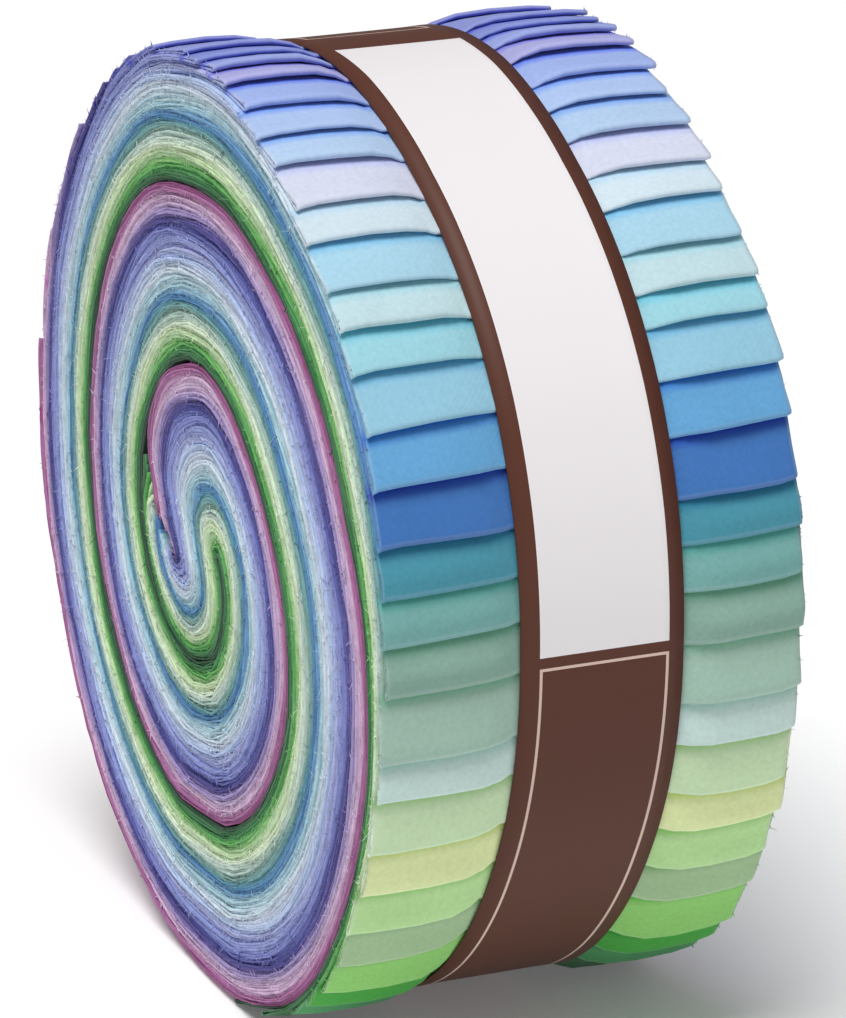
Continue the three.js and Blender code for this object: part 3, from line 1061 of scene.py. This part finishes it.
# Camera where the photo was taken from.
view = {
    "location": (-303.05, -727.2, 331.2),  # mm
    "direction": (0.3691, 0.8745, -0.3146),
    "lens": 197.25,
}
cameraData = bpy.data.cameras.new("camera")
cameraData.lens = view["lens"]
cameraData.sensor_width = 36
camera = bpy.data.objects.new("camera", cameraData)
camera.location = Vector(view["location"]) * millimetre
camera.rotation_mode = "QUATERNION"
camera.rotation_quaternion = Vector(view["direction"]).to_track_quat("-Z", "Y")
cameraData.clip_start = 0.05
bpy.context.scene.collection.objects.link(camera)
bpy.context.scene.camera = camera

# White studio paper under it: matt and bright, with a faint glow so that shadows stay light.
floorLook = {"reach": 4.0, "colour": "f3f3f3", "glow": 0.1}  # reach in metres to each side
reach = floorLook["reach"]
floorMesh = bpy.data.meshes.new("floor")
corners = [(-reach, -reach, 0), (reach, -reach, 0), (reach, reach, 0), (-reach, reach, 0)]
floorMesh.from_pydata(corners, [], [(0, 1, 2, 3)])
floor = bpy.data.objects.new("floor", floorMesh)
bpy.context.scene.collection.objects.link(floor)
floorMaterial, floorTree = newMaterial("floor_white")
floorSettings = {
    "Base Color": linear(floorLook["colour"]),
    "Roughness": 0.9,
    "Emission Color": (1, 1, 1, 1),
    "Emission Strength": floorLook["glow"],
}
addNode(floorTree, "OutputMaterial", {0: addNode(floorTree, "BsdfPrincipled", floorSettings)})
floorMesh.materials.append(floorMaterial)

# One broad light from high above, a little to the left and in front, and a weak one from the front.
lights = [  # name, direction it comes from, apparent size (degrees), strength
    ("keyLight", (-0.26, -0.22, 0.94), 32, 2.85),
    ("frontLight", (0.2, -0.8, 0.5), 60, 0.15),
]
roomGlow = 0.18  # light from all around
for name, direction, size, strength in lights:
    data = bpy.data.lights.new(name, "SUN")
    data.angle = math.radians(size)
    data.energy = strength
    lamp = bpy.data.objects.new(name, data)
    lamp.rotation_mode = "QUATERNION"
    lamp.rotation_quaternion = Vector(direction).to_track_quat("Z", "Y")
    bpy.context.scene.collection.objects.link(lamp)

world = bpy.data.worlds.new("room")
bpy.context.scene.world = world
world.use_nodes = True
background = world.node_tree.nodes["Background"]
background.inputs[0].default_value = (1, 1, 1, 1)
background.inputs[1].default_value = roomGlow
bpy.context.scene.view_settings.view_transform = "Standard"
print("room", len(lights), "lights, camera lens", view["lens"])
